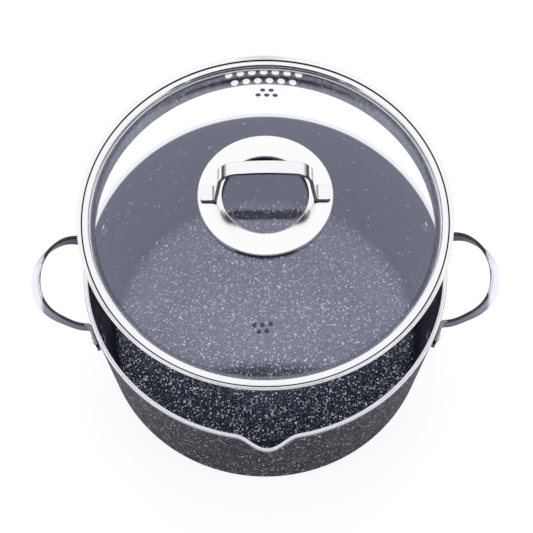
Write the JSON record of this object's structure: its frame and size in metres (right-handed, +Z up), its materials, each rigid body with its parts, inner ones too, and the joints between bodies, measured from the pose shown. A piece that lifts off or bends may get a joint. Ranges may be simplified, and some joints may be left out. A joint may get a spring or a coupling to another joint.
{
  "type": "casserole pot",
  "caption": "Deep round casserole pot with a pouring spout, two riveted steel side handles and a lift-off domed glass lid with a straining skirt.",
  "frame": {"origin": "centre of the flat base that the pot stands on", "axes": "+X through the right side handle, -Y towards the pouring spout, +Z up along the way the lid lifts"},
  "size_m": [0.372, 0.2958, 0.298],
  "materials": {
    "speckled_coating": "pressed aluminium with a dark speckled non-stick coating inside and out, bare bright rim",
    "polished_steel": "mirror polished stainless steel",
    "satin_steel": "satin stainless steel",
    "clear_glass": "clear tempered glass with small dark dots printed on it",
    "dark_silicone": "matt dark silicone"
  },
  "bodies": {
    "pot": {"pot_body": "speckled_coating", "induction_base": "satin_steel", "side_handle_left": "polished_steel", "side_handle_right": "polished_steel", "rivet_left_front": "polished_steel", "rivet_left_rear": "polished_steel", "rivet_right_front": "polished_steel", "rivet_right_rear": "polished_steel"},
    "lid": {"lid_glass": "clear_glass", "lid_band": "polished_steel", "strainer_skirt": "polished_steel", "rosette_gasket": "dark_silicone", "lid_rosette": "polished_steel", "lid_handle": "polished_steel", "grommet_left": "dark_silicone", "grommet_right": "dark_silicone", "washer_left": "satin_steel", "washer_right": "satin_steel", "lid_screw_left": "satin_steel", "lid_screw_right": "satin_steel"}
  },
  "joints": [
    {"name": "lid_lift", "type": "slide", "parent": "pot", "child": "lid", "axis": [0, 0, 1], "range_m": [-0.0911, 0.05]}
  ]
}
